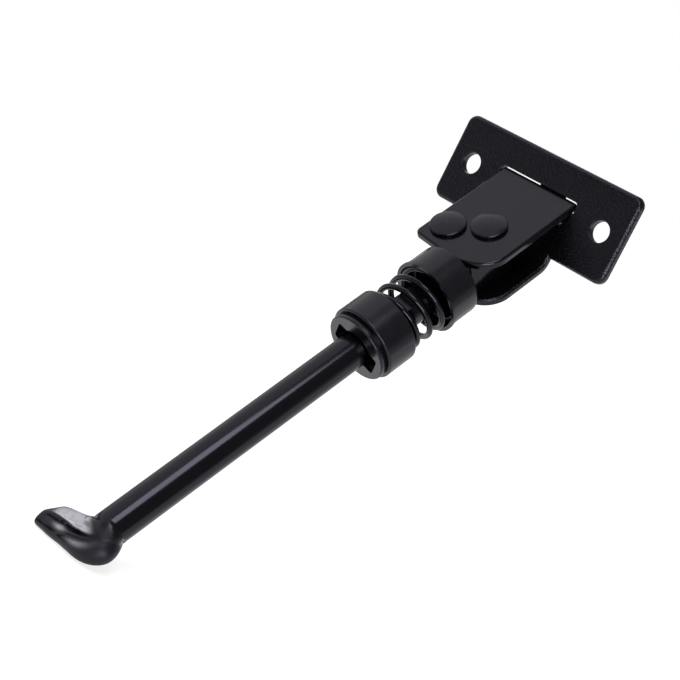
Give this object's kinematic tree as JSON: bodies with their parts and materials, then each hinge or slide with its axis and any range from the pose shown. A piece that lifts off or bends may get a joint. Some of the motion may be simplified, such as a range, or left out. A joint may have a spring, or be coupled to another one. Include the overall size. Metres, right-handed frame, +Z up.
{
  "type": "electric scooter kickstand",
  "caption": "Folding side stand: bolt-on plate with a folded ear and a welded ear, rod leg on a pivot rivet, spring held between cups on the leg, flattened foot.",
  "frame": {"origin": "middle of the two bolt holes on the plate's back face", "axes": "+X along the plate, +Y out of the plate's back into the scooter, +Z up along the plate"},
  "size_m": [0.0666, 0.1197, 0.1392],
  "materials": {
    "powder_coated_sheet": "black powder coat with a fine grain",
    "painted_sheet": "satin black paint",
    "painted_rivet": "gloss black paint",
    "gloss_painted_rod": "gloss black paint",
    "painted_cup": "satin black paint",
    "bare_pin": "plain ground steel",
    "black_spring_wire": "black spring wire"
  },
  "bodies": {
    "bracket_unit": {"bracket": "powder_coated_sheet", "upper_ear": "painted_sheet", "weld_bead": "painted_sheet", "pivot_rivet": "painted_rivet", "stop_rivet": "painted_rivet"},
    "leg_unit": {"leg": "gloss_painted_rod", "lower_cup": "painted_cup", "cross_pin": "bare_pin", "spring": "black_spring_wire"},
    "sliding_cup": {"upper_cup": "painted_cup"}
  },
  "joints": [
    {"name": "leg_fold", "type": "hinge", "parent": "bracket_unit", "child": "leg_unit", "pos_m": [0.0017, -0.0126, -0.0185], "axis": [0, -0.7071, 0.7071], "range_deg": [0, 90]},
    {"name": "cup_slide", "type": "slide", "parent": "leg_unit", "child": "sliding_cup", "axis": [0, -0.7071, -0.7071], "range_m": [0, 0.0025], "stiffness_N_per_m": 2500, "springref_m": -0.004, "deforming": ["spring"]}
  ]
}
